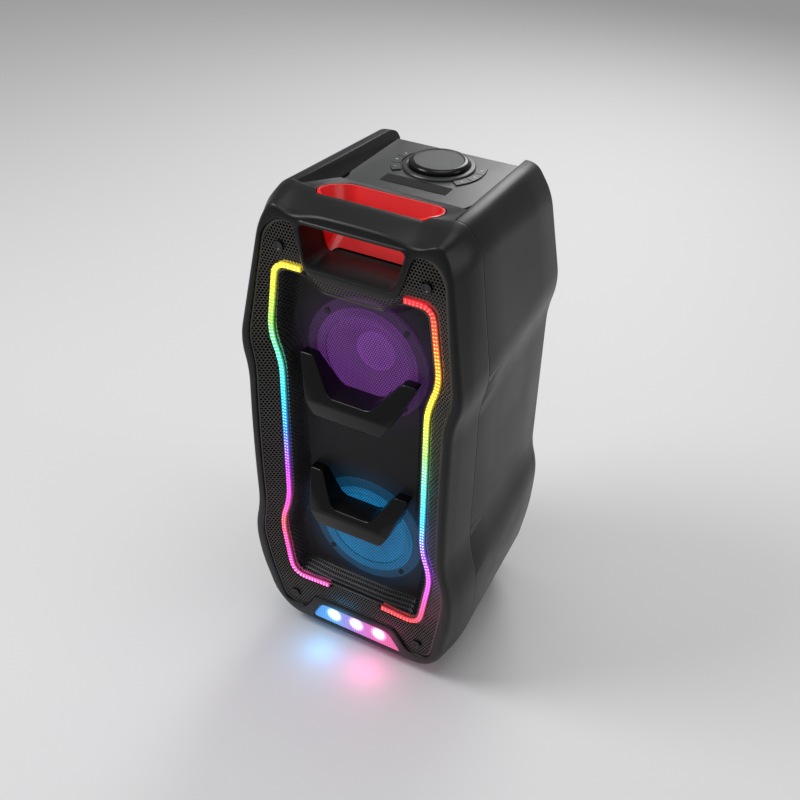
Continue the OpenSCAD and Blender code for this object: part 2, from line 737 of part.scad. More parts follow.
module heat_sink() {
    color("#8f9396") datum() {
        block(-60, 60, board_f - 8, board_f - 4, rear_z, rear_z + 44);
        for (i = [0 : 8])
            block(-58 + i * 14, -55 + i * 14, board_f - 30, board_f - 8, rear_z, rear_z + 44);
        for (x = [-40, 40])
            block(x - 4, x + 4, board_f - 4, board_f, rear_z + 4, rear_z + 40);
    }
}

module power_supply() {
    color("#22563b") datum() {
        block(-60, 60, 180, 181.6, 300, 400);
        block(-22, 22, 150, 180, 330, 370);
        for (z = [315, 385])
            rod_f(11, 148, 180, -42, z);
        block(30, 52, 160, 180, 312, 388);
    }
}

module battery_pack() {
    color("#23425f") datum() difference() {
        block(-70, 70, 120, 190, 30, 90);
        for (x = [-62, 62])
            translate([x, 155, 20]) cylinder(r = 2.2, h = 90, $fn = fine);
    }
}

module bass_port() {
    color(dark) datum() turned_f(port_z) polygon([[port_r, body_d - 120], [port_r + 3, body_d - 120],
        [port_r + 3, body_d - 1.9], [port_r + 12, body_d - 1.9], [port_r + 12, body_d],
        [port_r + 6, body_d], [port_r + 2, body_d - 2], [port_r, body_d - 6]]);
}

module feet() {
    color("#101011") datum() for (p = foot_places)
        translate([p[0], p[1], 0]) rotate_extrude($fn = fine)
            polygon([[0, 0], [12, 0], [14, 2], [15, foot_h - 0.1], [0, foot_h - 0.1]]);
}

front_bezel();
rear_cabinet();
handle_liner();
control_panel();
outer_grille();
woofer_grille();
left_light_guide();
right_light_guide();
left_light_board();
right_light_board();
upper_jaw();
lower_jaw();
baffle();
upper_basket();
lower_basket();
upper_surround();
lower_surround();
upper_cone();
lower_cone();
upper_dust_cap();
lower_dust_cap();
upper_spider();
lower_spider();
upper_magnet();
lower_magnet();
basket_screws();
lamp_lens();
lamp_housing();
lamp_leds();
volume_knob();
knob_ring();
encoder();
display_window();
display_module();
control_board();
key_switches();
left_key_1();
left_key_2();
left_key_3();
right_key_1();
right_key_2();
right_key_3();
rear_panel();
power_inlet();
switch_frame();
power_rocker();
microphone_jack();
guitar_jack();
microphone_knob();
guitar_knob();
usb_socket();
aux_jack();
amplifier_board();
heat_sink();
power_supply();
battery_pack();
bass_port();
feet();
grille_screws();
cabinet_screws();
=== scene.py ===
# %% [markdown]
# # Party speaker
# A tall party speaker: a bowed front frame and a rear cabinet in black plastic, a formed steel grille with
# woofers glowing behind it, strips of coloured light, a red carry handle and a control panel on top.
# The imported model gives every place. This script gives the looks: it replaces the faceted shells with
# smooth ones, punches real holes in the grilles, and gives each part its finish.

# %% The frame
import math
import bmesh
import bpy
import numpy as np
from mathutils import Matrix, Vector


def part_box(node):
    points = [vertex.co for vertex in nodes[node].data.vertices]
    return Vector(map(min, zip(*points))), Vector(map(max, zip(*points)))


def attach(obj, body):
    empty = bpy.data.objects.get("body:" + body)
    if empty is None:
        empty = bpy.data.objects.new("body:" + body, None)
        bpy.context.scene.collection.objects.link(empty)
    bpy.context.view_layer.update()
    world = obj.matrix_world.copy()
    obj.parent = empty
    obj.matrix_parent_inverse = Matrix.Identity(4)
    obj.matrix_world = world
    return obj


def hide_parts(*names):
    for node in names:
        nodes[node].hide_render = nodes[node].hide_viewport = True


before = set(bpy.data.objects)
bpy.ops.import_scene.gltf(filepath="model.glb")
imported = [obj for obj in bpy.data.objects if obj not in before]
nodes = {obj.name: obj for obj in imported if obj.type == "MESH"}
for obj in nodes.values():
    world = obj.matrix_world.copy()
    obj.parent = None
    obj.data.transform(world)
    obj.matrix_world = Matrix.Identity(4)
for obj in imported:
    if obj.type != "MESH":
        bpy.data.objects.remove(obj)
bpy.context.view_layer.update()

# %% [markdown]
# The outlines below are seen from the front and given in millimetres, and depth is counted from a flat
# datum plane near the front. One function turns (across, depth, height) into the frame's metres. The
# datum's place comes from the light guide, whose front face lies a few millimetres behind it.

# %% Places
MM = 0.001
GUIDE_FACE = 3
datum_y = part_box("left_light_guide")[0].y / MM - GUIDE_FACE
print("datum plane at y =", round(datum_y, 2), "mm")


def place(x, depth, z):
    return Vector((x, depth + datum_y, z)) * MM


# %% [markdown]
# The front of the real speaker bows forward in the middle of its height, so a depth there depends on the
# height. The cabinet's outline is drawn as one half and mirrored. Each entry is the half width, the
# height and the size of the corner, which is rounded by a smooth curve between its two sides.

# %% Outlines
MIDDLE_Z = 360
HALF_H = 330
NOSE = -16
BOW = 22
FRAME_D = 54
BODY_D = 281
CORNER_STEPS = 8

FRONT_EDGE = [(0, 699, 40), (50, 698, 20), (83, 690, 14), (112, 702, 12), (129, 672, 30), (157, 510, 22),
              (146, 468, 22), (146, 354, 60), (146, 240, 24), (159, 186, 28), (156, 128, 40), (140, 50, 40),
              (116, 18, 24), (66, 15, 20), (0, 15, 20)]
PARTING_EDGE = [(0, 706, 40), (50, 706, 20), (84, 706, 14), (117, 711.9, 20), (139, 684, 36), (161, 516, 24),
                (150, 470, 24), (150, 358, 60), (150, 246, 26), (164.8, 190, 28), (163, 134, 40),
                (150, 58, 44), (120, 20, 30), (66, 20, 20), (0, 20, 20)]
REAR_EDGE = [(0, 699, 40), (50, 699, 20), (84, 699, 14), (113, 699, 20), (136, 664, 40), (159, 544, 24),
             (148, 498, 24), (148, 380, 60), (148, 262, 26), (159, 224, 28), (155, 150, 40), (140, 66, 44),
             (112, 24, 30), (66, 24, 20), (0, 24, 20)]
GRILLE_EDGE = [(0, 622, 20), (62, 622, 14), (80, 681, 9), (104, 682, 16), (122, 664, 16), (144, 516, 18),
               (134.5, 478, 20), (134.5, 358, 60), (134.5, 238, 20), (145.5, 188, 24), (139, 128, 40),
               (122, 42, 18), (86, 40, 10), (66, 78, 10), (0, 78, 20)]
GUIDE_EDGE = [(0, 602.5, 20), (40, 602.5, 8), (62, 617, 4), (67.3, 628, 3), (109, 627.7, 26),
              (122.8, 524, 24), (107.8, 480, 24), (107.8, 366, 60), (107.8, 252, 24), (122.8, 205, 26),
              (107, 103, 22), (70, 103, 10), (42, 106, 4), (36, 113, 3), (0, 113.5, 20)]
RECESS_EDGE = [(0, 602, 20), (40, 602, 10), (62, 616.6, 5), (70, 619, 5), (102, 619, 22), (115, 524, 20),
               (100, 482, 20), (100, 248, 20), (115, 204, 24), (101, 111, 18), (44, 114, 8), (0, 114, 20)]
GUIDE_PATH = [(44, 110, 4), (104, 107, 22), (119, 205, 26), (104, 251, 22), (104, 481, 22),
              (119, 524, 22), (106, 623.5, 26), (69, 623.5, 4)]
OPENING_EDGE = [(0, 683, 20), (71, 683, 10), (59, 634, 11), (0, 634, 20)]
LAMP_EDGE = [(0, 66, 20), (56, 66, 10), (76, 28, 9), (0, 28, 20)]


def front_depth(z):
    return NOSE + BOW * ((z - MIDDLE_Z) / HALF_H) ** 2


def bend(before, corner, after, size):
    p = Vector(corner)
    to_a, to_b = Vector(before) - p, Vector(after) - p
    reach = min(size, 0.45 * to_a.length, 0.45 * to_b.length)
    a, b = p + to_a.normalized() * reach, p + to_b.normalized() * reach
    steps = [i / CORNER_STEPS for i in range(CORNER_STEPS + 1)]
    return [(1 - u) ** 2 * a + 2 * u * (1 - u) * p + u * u * b for u in steps]


def rounded(corners):
    n = len(corners)
    flat = [c[:2] for c in corners]
    return [p for i in range(n) for p in bend(flat[i - 1], flat[i], flat[(i + 1) % n], corners[i][2])]


def outline(half):
    return rounded(list(half) + [(-x, z, size) for x, z, size in reversed(half[1:-1])])


def inset(half, d):
    return [(max(x - d, 0) if x > 0 else 0, z - math.copysign(d, z - MIDDLE_Z), size) for x, z, size in half]


def between(a, b, t):
    return [tuple((1 - t) * p + t * q for p, q in zip(u, v)) for u, v in zip(a, b)]


def flat_ring(half, depth):
    return [place(p.x, depth, p.y) for p in outline(half)]


def bowed_ring(half, depth):
    return [place(p.x, depth + front_depth(p.y), p.y) for p in outline(half)]


# %% [markdown]
# Every finish is made of nodes on Object coordinates, so it stays put when the camera or a body moves.
# Moulded plastic has a fine spark-eroded grain, so its bump is a small noise, and a larger noise varies
# the gloss a little, as handling does. The sizes are in grains per metre.

# %% Finish helpers
GRAIN = 1500
CLOUD = 14


def start_finish(name, colour, roughness, metallic=0.0):
    mat = bpy.data.materials.new(name)
    mat.use_nodes = True
    tree = mat.node_tree
    shader = tree.nodes["Principled BSDF"]
    shader.inputs["Base Color"].default_value = (*colour, 1)
    shader.inputs["Roughness"].default_value = roughness
    shader.inputs["Metallic"].default_value = metallic
    where = tree.nodes.new("ShaderNodeTexCoord").outputs["Object"]
    return mat, tree, shader, where


def node(tree, kind, **inputs):
    made = tree.nodes.new(kind)
    for key, value in inputs.items():
        made.inputs[key.replace("_", " ")].default_value = value
    return made


def noise(tree, where, scale, detail=2.0):
    made = node(tree, "ShaderNodeTexNoise", Scale=scale, Detail=detail)
    tree.links.new(where, made.inputs["Vector"])
    return made.outputs["Fac"]


def spread(tree, value, low, high, start=0.35, end=0.65):
    made = node(tree, "ShaderNodeMapRange", From_Min=start, From_Max=end, To_Min=low, To_Max=high)
    tree.links.new(value, made.inputs["Value"])
    return made.outputs["Result"]


def math_step(tree, operation, a, b=0.0, c=None):
    made = tree.nodes.new("ShaderNodeMath")
    made.operation = operation
    for socket, value in zip(made.inputs, (a, b, c)):
        if value is None:
            continue
        if isinstance(value, (int, float)):
            socket.default_value = value
        else:
            tree.links.new(value, socket)
    return made.outputs["Value"]


def bump(tree, shader, height, strength, distance):
    made = node(tree, "ShaderNodeBump", Strength=strength, Distance=distance)
    tree.links.new(height, made.inputs["Height"])
    tree.links.new(made.outputs["Normal"], shader.inputs["Normal"])


def tint(tree, shader, value, dark, light):
    mix = tree.nodes.new("ShaderNodeMix")
    mix.data_type = "RGBA"
    colours = [s for s in mix.inputs if s.type == "RGBA"]
    colours[0].default_value = (*dark, 1)
    colours[1].default_value = (*light, 1)
    tree.links.new(value, mix.inputs[0])
    tree.links.new([s for s in mix.outputs if s.type == "RGBA"][0], shader.inputs["Base Color"])


def moulded(name, colour, roughness, grain=0.35, scale=GRAIN, shine=0.5):
    mat, tree, shader, where = start_finish(name, colour, roughness)
    shader.inputs["Specular IOR Level"].default_value = shine
    cloud = noise(tree, where, CLOUD, 3.0)
    tint(tree, shader, cloud, [0.88 * c for c in colour], [1.12 * c for c in colour])
    tree.links.new(spread(tree, cloud, roughness - 0.02, roughness + 0.03), shader.inputs["Roughness"])
    bump(tree, shader, noise(tree, where, scale, 2.0), grain, 0.00006)
    return mat


def metal(name, colour, roughness, brushed=(1, 1, 1)):
    mat, tree, shader, where = start_finish(name, colour, roughness, 1.0)
    stretch = node(tree, "ShaderNodeMapping", Scale=brushed)
    tree.links.new(where, stretch.inputs["Vector"])
    streaks = noise(tree, stretch.outputs["Vector"], 900, 3.0)
    tree.links.new(spread(tree, streaks, roughness - 0.08, roughness + 0.1), shader.inputs["Roughness"])
    tint(tree, shader, streaks, [0.85 * c for c in colour], [min(1, 1.1 * c) for c in colour])
    bump(tree, shader, streaks, 0.2, 0.00003)
    return mat


# %% [markdown]
# The shell is satin black, the top panel a little lighter, the handle a saturated red and the trim round
# the knob a gloss black. Inside the cabinet are boards with green lacquer and copper tracks, steel
# baskets, paper cones and a baffle board painted black, which show wherever a cover is lifted off.

# %% Plain finishes
finish = {
    "shell": moulded("satin_black_shell", (0.006, 0.0064, 0.0064), 0.38, shine=0.32),
    "panel": moulded("charcoal_panel", (0.028, 0.03, 0.031), 0.36),
    "handle_red": moulded("red_handle", (0.86, 0.004, 0.006), 0.32, 0.2),
    "trim_black": moulded("gloss_black_trim", (0.004, 0.004, 0.0045), 0.2, 0.08, shine=0.3),
    "rubber": moulded("black_rubber", (0.012, 0.012, 0.012), 0.7, 0.5, 700),
    "steel": metal("grey_steel", (0.32, 0.33, 0.34), 0.42),
    "bright_metal": metal("nickel_plate", (0.75, 0.74, 0.72), 0.22),
    "aluminium": metal("drawn_aluminium", (0.7, 0.71, 0.72), 0.35, (1, 1, 0.05)),
    "rocker_red": moulded("red_rocker", (0.6, 0.008, 0.01), 0.25, 0.1),
    "spider_cloth": moulded("amber_cloth", (0.36, 0.2, 0.06), 0.85, 0.9, 900),
    "battery": moulded("blue_wrap", (0.02, 0.07, 0.22), 0.35, 0.3),
    "display": moulded("smoked_window", (0.003, 0.003, 0.004), 0.05, 0.0),
    "lens": moulded("milk_housing", (0.5, 0.5, 0.52), 0.4, 0.2),
}


def circuit_board():
    mat, tree, shader, where = start_finish("green_board", (0.01, 0.09, 0.03), 0.3)
    cells = node(tree, "ShaderNodeTexVoronoi", Scale=160.0)
    cells.feature = "DISTANCE_TO_EDGE"
    tree.links.new(where, cells.inputs["Vector"])
    track = spread(tree, cells.outputs["Distance"], 1, 0, 0.03, 0.06)
    tint(tree, shader, track, (0.008, 0.075, 0.025), (0.05, 0.22, 0.07))
    bump(tree, shader, track, 0.3, 0.00005)
    return mat


finish["board"] = circuit_board()

# %% [markdown]
# The grille is steel sheet with a dull powder coat. It is dark, and its edges round the holes catch the
# light, which the geometry of the holes gives by itself.


# %% Grille finish
def powder_coat(name, colour):
    mat, tree, shader, where = start_finish(name, colour, 0.38, 0.6)
    speck = noise(tree, where, 2200, 2.0)
    tree.links.new(spread(tree, speck, 0.3, 0.5), shader.inputs["Roughness"])
    tint(tree, shader, noise(tree, where, 30, 2.0), [0.8 * c for c in colour], [1.2 * c for c in colour])
    bump(tree, shader, speck, 0.3, 0.00004)
    return mat


finish["grille"] = powder_coat("brown_black_steel", (0.085, 0.078, 0.07))
dark_mesh = powder_coat("black_mesh_steel", (0.03, 0.028, 0.032))

# %% [markdown]
# A light strip changes colour along its length. The strip runs mostly up and down, so a colour ramp on
# the height gives that, with one ramp for each side. The lamp colours are saturated and the dots over
# the lamps are much brighter than the guide between them.

# %% Light finishes
LOW_Z, HIGH_Z = 100, 630
LEFT_COLOURS = [(108, (1.0, 0.10, 0.42)), (150, (0.95, 0.05, 0.35)), (205, (1.0, 0.08, 0.10)),
                (250, (0.9, 0.05, 0.45)), (310, (0.35, 0.05, 0.9)), (370, (0.05, 0.2, 1.0)),
                (430, (0.03, 0.6, 0.95)), (490, (0.1, 0.9, 0.55)), (540, (0.25, 0.9, 0.1)),
                (590, (0.75, 0.9, 0.05)), (625, (1.0, 0.75, 0.05))]
RIGHT_COLOURS = [(108, (1.0, 0.05, 0.05)), (150, (1.0, 0.06, 0.25)), (205, (0.6, 0.08, 0.9)),
                 (250, (0.25, 0.15, 1.0)), (300, (0.05, 0.5, 1.0)), (350, (0.1, 0.85, 0.8)),
                 (410, (0.3, 0.9, 0.15)), (470, (0.85, 0.85, 0.05)), (524, (1.0, 0.5, 0.03)),
                 (575, (1.0, 0.15, 0.03)), (625, (1.0, 0.03, 0.04))]


def colour_along(tree, where, axis, stops, start, end):
    split = tree.nodes.new("ShaderNodeSeparateXYZ")
    tree.links.new(where, split.inputs["Vector"])
    part = node(tree, "ShaderNodeMapRange", From_Min=start * MM, From_Max=end * MM)
    tree.links.new(split.outputs[axis], part.inputs["Value"])
    ramp = tree.nodes.new("ShaderNodeValToRGB")
    ramp.color_ramp.elements.remove(ramp.color_ramp.elements[0])
    for i, (at, colour) in enumerate(stops):
        position = (at - start) / (end - start)
        stop = ramp.color_ramp.elements[0] if i == 0 else ramp.color_ramp.elements.new(position)
        stop.position = position
        stop.color = (*colour, 1)
    tree.links.new(part.outputs["Result"], ramp.inputs["Fac"])
    return ramp.outputs["Color"]


def strip_light(name, stops, strength):
    mat, tree, shader, where = start_finish(name, (0.3, 0.3, 0.3), 0.3)
    colour = colour_along(tree, where, "Z", stops, LOW_Z, HIGH_Z)
    tree.links.new(colour, shader.inputs["Base Color"])
    tree.links.new(colour, shader.inputs["Emission Color"])
    glow = spread(tree, noise(tree, where, 260, 1.0), 0.85 * strength, 1.15 * strength)
    tree.links.new(glow, shader.inputs["Emission Strength"])
    return mat


GUIDE_GLOW = 0.38
DOT_GLOW = 9.0
side_light = {}
for side, stops in (("left", LEFT_COLOURS), ("right", RIGHT_COLOURS)):
    guide_glow = strip_light(side + "_guide_glow", stops, GUIDE_GLOW)
    dot_glow = strip_light(side + "_dot_glow", stops, DOT_GLOW)
    side_light[side] = (guide_glow, dot_glow)
print("strip finishes:", [mat.name for pair in side_light.values() for mat in pair])

# %% [markdown]
# Hidden lamps throw one colour over each woofer. Real lamps inside the deep pan would need many samples to
# come out clean, so the glow is drawn into the finishes: it is brightest on the cap, even over the cone,
# weaker on the surround and the basket's rim, and it fades out over the black baffle round them. The cone
# is pressed paper, so a fine ribbing runs round it.


# %% Lit cones
RIBS_PER_METRE = 1800.0
CAP_R, CONE_R, FADE_R = 0.016, 0.06, 0.115


def lit_cone(name, glow, strength, height):
    mat, tree, shader, where = start_finish(name, (0.03, 0.03, 0.032), 0.5)
    centred = node(tree, "ShaderNodeMapping", Location=(0, 0, -height * MM))
    tree.links.new(where, centred.inputs["Vector"])
    split = tree.nodes.new("ShaderNodeSeparateXYZ")
    tree.links.new(centred.outputs["Vector"], split.inputs["Vector"])
    across = math_step(tree, "MULTIPLY", split.outputs["X"], split.outputs["X"])
    up = math_step(tree, "MULTIPLY", split.outputs["Z"], split.outputs["Z"])
    radius = math_step(tree, "SQRT", math_step(tree, "ADD", across, up))
    rib = math_step(tree, "SINE", math_step(tree, "MULTIPLY", radius, RIBS_PER_METRE))
    bump(tree, shader, rib, 0.25, 0.0003)
    # Painted light: the emission stands for the hidden lamps' light on the cone. It is graded with the
    # radius and made uneven by a noise.
    shade = spread(tree, radius, 0.75 * strength, strength, CAP_R, CONE_R)
    shade = math_step(tree, "MULTIPLY", shade, spread(tree, noise(tree, where, 12), 0.8, 1.1))
    shader.inputs["Emission Color"].default_value = (*glow, 1)
    tree.links.new(shade, shader.inputs["Emission Strength"])
    return mat


def lit_baffle():
    mat, tree, shader, where = start_finish("painted_baffle", (0.01, 0.01, 0.01), 0.75)
    stretch = node(tree, "ShaderNodeMapping", Scale=(6, 60, 60))
    tree.links.new(where, stretch.inputs["Vector"])
    fibre = noise(tree, stretch.outputs["Vector"], 30, 5.0)
    tint(tree, shader, spread(tree, fibre, 0, 1), (0.005, 0.005, 0.006), (0.016, 0.015, 0.014))
    bump(tree, shader, fibre, 0.3, 0.0002)
    # Painted light: an emission round each woofer stands for its lamps' glow spilling on to the baffle, and
    # it fades with the distance.
    split = tree.nodes.new("ShaderNodeSeparateXYZ")
    tree.links.new(where, split.inputs["Vector"])
    across = math_step(tree, "MULTIPLY", split.outputs["X"], split.outputs["X"])
    total = None
    for height, glow, strength in WOOFERS.values():
        up = math_step(tree, "SUBTRACT", split.outputs["Z"], height * MM)
        up_squared = math_step(tree, "MULTIPLY", up, up)
        radius = math_step(tree, "SQRT", math_step(tree, "ADD", across, up_squared))
        share = spread(tree, radius, 0.16 * strength, 0, CONE_R, FADE_R)
        lit = tree.nodes.new("ShaderNodeVectorMath")
        lit.operation = "SCALE"
        lit.inputs[0].default_value = glow
        tree.links.new(share, lit.inputs["Scale"])
        if total is None:
            total = lit.outputs["Vector"]
            continue
        both = tree.nodes.new("ShaderNodeVectorMath")
        tree.links.new(total, both.inputs[0])
        tree.links.new(lit.outputs["Vector"], both.inputs[1])
        total = both.outputs["Vector"]
    tree.links.new(total, shader.inputs["Emission Color"])
    shader.inputs["Emission Strength"].default_value = 1
    return mat


# %% Lit woofers
PURPLE, CYAN = (0.34, 0.08, 0.55), (0.01, 0.3, 0.68)
WOOFERS = {"upper": (498, PURPLE, 0.5), "lower": (212, CYAN, 0.75)}
cone_glow = {}
for name, (height, glow, strength) in WOOFERS.items():
    cone_glow[name] = {
        "cone": lit_cone(name + "_cone_glow", glow, strength, height),
        "cap": lit_cone(name + "_cap_glow", glow, 1.7 * strength, height),
        "rest": lit_cone(name + "_ring_glow", glow, 0.8 * strength, height),
        "basket": lit_cone(name + "_basket_glow", glow, 0.3 * strength, height),
    }
finish["wood"] = lit_baffle()
finish["cone"] = moulded("pressed_paper", (0.03, 0.03, 0.032), 0.6, 0.6, 500)
finish["guide"] = side_light["left"][0]
print("plain finishes:", sorted(finish))

# %% [markdown]
# Each CAD node that keeps its own shape gets its finish here, by the slot that the record gives it. Nodes
# that glow take their lamp colours after that, and the woofer parts take the hidden lamps' light as painted
# light.

# %% Finishes on the CAD nodes
for name, obj in nodes.items():
    for i, old in enumerate(obj.data.materials):
        slot = old.name.split(".")[0]
        obj.data.materials[i] = finish[slot]
blackened = metal("blackened_steel", (0.06, 0.06, 0.062), 0.35)
for name in ("grille_screws", "cabinet_screws", "basket_screws"):
    nodes[name].data.materials[0] = blackened
# The cones, caps, surrounds and baskets get painted light: the hidden lamps' glow drawn into their finishes.
for name, glow in cone_glow.items():
    nodes[name + "_cone"].data.materials[0] = glow["cone"]
    nodes[name + "_dust_cap"].data.materials[0] = glow["cap"]
    nodes[name + "_surround"].data.materials[0] = glow["rest"]
    nodes[name + "_basket"].data.materials[0] = glow["basket"]
for side, (guide_glow, dot_glow) in side_light.items():
    nodes[side + "_light_guide"].data.materials[0] = guide_glow
print(len(nodes), "nodes have their finish")

# %% [markdown]
# A new piece is made in a bmesh, with its place in its mesh. Finishing it means giving it a name, smooth
# shading with sharp edges where the faces turn by more than an angle, the body that it rides on and the
# nodes that it stands for.


# %% Finishing a piece
def finished(name, bm, materials, body="root", stands_for=(), angle=35):
    mesh = bpy.data.meshes.new(name)
    bm.to_mesh(mesh)
    bm.free()
    for mat in materials:
        mesh.materials.append(mat)
    mesh.shade_smooth()
    mesh.set_sharp_from_angle(angle=math.radians(angle))
    piece = bpy.data.objects.new(name, mesh)
    bpy.context.scene.collection.objects.link(piece)
    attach(piece, body)
    if stands_for:
        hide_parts(*stands_for)
    print(name, "has", len(mesh.polygons), "faces")
    return piece


# %% [markdown]
# The shells are lofts. A ring of vertices is drawn along the outline, its edges are extruded, and the new
# ring is moved to the next outline. Every ring has the same number of points, so the skin between two
# rings is a band of clean quads, which takes smooth shading well.


# %% Loft
def draw_ring(bm, points):
    verts = [bm.verts.new(p) for p in points]
    edges = [bm.edges.new((verts[i - 1], verts[i])) for i in range(len(verts))]
    return verts, edges


def next_ring(bm, verts, edges, points):
    made = bmesh.ops.extrude_edge_only(bm, edges=edges)["geom"]
    fresh = {v for v in made if isinstance(v, bmesh.types.BMVert)}
    partner = {}
    for v in fresh:
        for edge in v.link_edges:
            if edge.other_vert(v) not in fresh:
                partner[edge.other_vert(v)] = v
    new_verts = [partner[v] for v in verts]
    for v, p in zip(new_verts, points):
        v.co = p
    return new_verts, [bm.edges.get((new_verts[i - 1], new_verts[i])) for i in range(len(new_verts))]


def loft(rings, closed=False):
    bm = bmesh.new()
    verts, edges = draw_ring(bm, rings[0])
    first = edges
    for ring in rings[1:]:
        verts, edges = next_ring(bm, verts, edges, ring)
    if closed:
        bmesh.ops.remove_doubles(bm, verts=bm.verts, dist=1e-7)
    else:
        bmesh.ops.contextual_create(bm, geom=first)
        bmesh.ops.contextual_create(bm, geom=edges)
    bmesh.ops.recalc_face_normals(bm, faces=bm.faces)
    return bm


def prism(points, push):
    bm = bmesh.new()
    face = bm.faces.new([bm.verts.new(p) for p in points])
    made = bmesh.ops.extrude_face_region(bm, geom=[face])["geom"]
    bmesh.ops.translate(bm, verts=[v for v in made if isinstance(v, bmesh.types.BMVert)], vec=push)
    bmesh.ops.recalc_face_normals(bm, faces=bm.faces)
    return bm


def front_prism(points, depth0, depth1):
    return prism([place(x, depth0, z) for x, z in points], Vector((0, (depth1 - depth0) * MM, 0)))


# %% [markdown]
# The handle, the lamp, the sockets and the port need holes through the shells. Openings are cut with
# Boolean modifiers, applied at once so that no cutter is left in the scene. The
# exact solver is the one to use here, because faces of the cutters lie close to faces of the shell.


# %% Cutting
def scratch(bm):
    mesh = bpy.data.meshes.new("scratch")
    bm.to_mesh(mesh)
    bm.free()
    obj = bpy.data.objects.new("scratch", mesh)
    bpy.context.scene.collection.objects.link(obj)
    return obj


def cut(bm, cutters, operation="DIFFERENCE", soften=0.0):
    target = scratch(bm)
    tools = [scratch(c) for c in cutters]
    for tool in tools:
        step = target.modifiers.new("cut", "BOOLEAN")
        step.operation, step.solver, step.object = operation, "EXACT", tool
    if soften:
        edge = target.modifiers.new("soften", "BEVEL")
        edge.width, edge.segments, edge.limit_method = soften * MM, 2, "ANGLE"
        edge.angle_limit = math.radians(38)
        edge.use_clamp_overlap = True
    ready = target.evaluated_get(bpy.context.evaluated_depsgraph_get())
    out = bmesh.new()
    out.from_mesh(ready.to_mesh())
    for obj in [target] + tools:
        mesh = obj.data
        bpy.data.objects.remove(obj)
        bpy.data.meshes.remove(mesh)
    return out


# %% [markdown]
# The handle is a bowl sunk in the top, open to the front. Its hull over three outlines gives the bowl: the
# opening in the front face, the wider plan at the deck and the smaller plan at its floor.

# %% Handle bowl
SCOOP_F0 = 46
SCOOP_F1 = 116
HANDLE_MIDDLE = 658.5
LINER_WALL = 3
BOWL_WALL = LINER_WALL + 1.2
PANEL_Z = 687
DECK_F = 128
BEFORE = -40
BEYOND = 400


def opening_points(grow):
    grown = [(x + grow if x else 0, z + math.copysign(grow, z - HANDLE_MIDDLE), size)
             for x, z, size in OPENING_EDGE]
    return [tuple(p) for p in outline(grown)]


def plan_points(grow, top):
    if top:
        half = [(68 + grow, SCOOP_F0 - grow, 14), (80 + grow, SCOOP_F0 + 34, 14),
                (66 + grow, SCOOP_F1 + grow, 18)]
    else:
        half = [(62 + grow, 56 - grow, 10), (62 + grow, 92 + grow, 20)]
    return [tuple(p) for p in rounded(half + [(-x, f, s) for x, f, s in reversed(half)])]


def bowl(grow):
    bm = bmesh.new()
    for x, z in opening_points(grow - 2):
        bm.verts.new(place(x, SCOOP_F0 - 1, z))
        bm.verts.new(place(x, SCOOP_F0, z))
    for x, depth in plan_points(grow, True):
        bm.verts.new(place(x, depth, 715))
    for x, depth in plan_points(grow, False):
        bm.verts.new(place(x, depth, 650 - grow))
    hull = bmesh.ops.convex_hull(bm, input=bm.verts)
    spare = {v for v in hull["geom_interior"] + hull["geom_unused"] if isinstance(v, bmesh.types.BMVert)}
    bmesh.ops.delete(bm, geom=list(spare), context="VERTS")
    bmesh.ops.recalc_face_normals(bm, faces=bm.faces)
    return bm


def side_prism(points, half_width):
    return prism([place(-half_width, f, z) for f, z in points], Vector((2 * half_width * MM, 0, 0)))


# %% [markdown]
# The front frame is one moulding: from the parting line it swells forward, rolls over a rounded shoulder
# on to a flat rim, and turns in to a wall behind the grille. Several rings across the shoulder make the
# roll that catches the light. The handle's opening and the lamp's opening are cut through it.

# %% Front frame
SHOULDER = [(0, 7), (0.35, 4.9), (1.1, 2.9), (2.3, 1.3), (3.6, 0.4), (5, 0)]
front_rings = [flat_ring(PARTING_EDGE, FRAME_D), flat_ring(PARTING_EDGE, FRAME_D - 2)]
front_rings += [bowed_ring(between(FRONT_EDGE, PARTING_EDGE, t), 7 + 30 * t) for t in (0.75, 0.5, 0.25, 0.1)]
front_rings += [bowed_ring(inset(FRONT_EDGE, d), depth) for d, depth in SHOULDER]
front_rings += [bowed_ring(between(FRONT_EDGE, GRILLE_EDGE, t), back) for t, back in ((0.8, 0), (0.93, 0.3))]
front_rings += [bowed_ring(GRILLE_EDGE, 1.6), bowed_ring(inset(GRILLE_EDGE, -0.1), 4)]
front_rings += [flat_ring(GRILLE_EDGE, FRAME_D), flat_ring(PARTING_EDGE, FRAME_D)]
behind_bar = side_prism([(SCOOP_F0 - 1, 500), (SCOOP_F0 - 1, 800), (200, 800), (200, 500)], 120)
frame_cutters = [front_prism(opening_points(0), BEFORE, FRAME_D + 1),
                 front_prism([tuple(p) for p in outline(LAMP_EDGE)], BEFORE, FRAME_D + 1),
                 cut(bowl(BOWL_WALL), [behind_bar], "INTERSECT")]
frame_bm = cut(loft(front_rings, closed=True), frame_cutters, soften=1.6)
finished("front_frame", frame_bm, [finish["shell"]], stands_for=["front_bezel"])

# %% [markdown]
# A raised lip runs round the handle's opening. It is a closed loft with a small rounded section, proud of
# the bowed face, and it catches the light all the way round.

# %% Lip of the handle opening
LIP_SECTION = [(-0.4, 5), (-0.4, 0), (0.4, -1.3), (1.9, -1.9), (3.4, -1.3), (4.6, 0.3), (4.6, 5), (-0.4, 5)]
lip_rings = []
for grow, depth in LIP_SECTION:
    lip_rings.append([place(x, front_depth(z) + depth, z) for x, z in opening_points(grow)])
finished("opening_lip", loft(lip_rings, closed=True), [finish["shell"]])

# %% [markdown]
# The rear cabinet runs from the parting line to the back wall. Its outline shifts on the way, so a diagonal
# crease runs down each side. It is hollowed by a smaller loft, and the deck, the trough between the rails,
# the handle's bowl, the terminal panel's seat, the port and the screw holes are cut out of it.

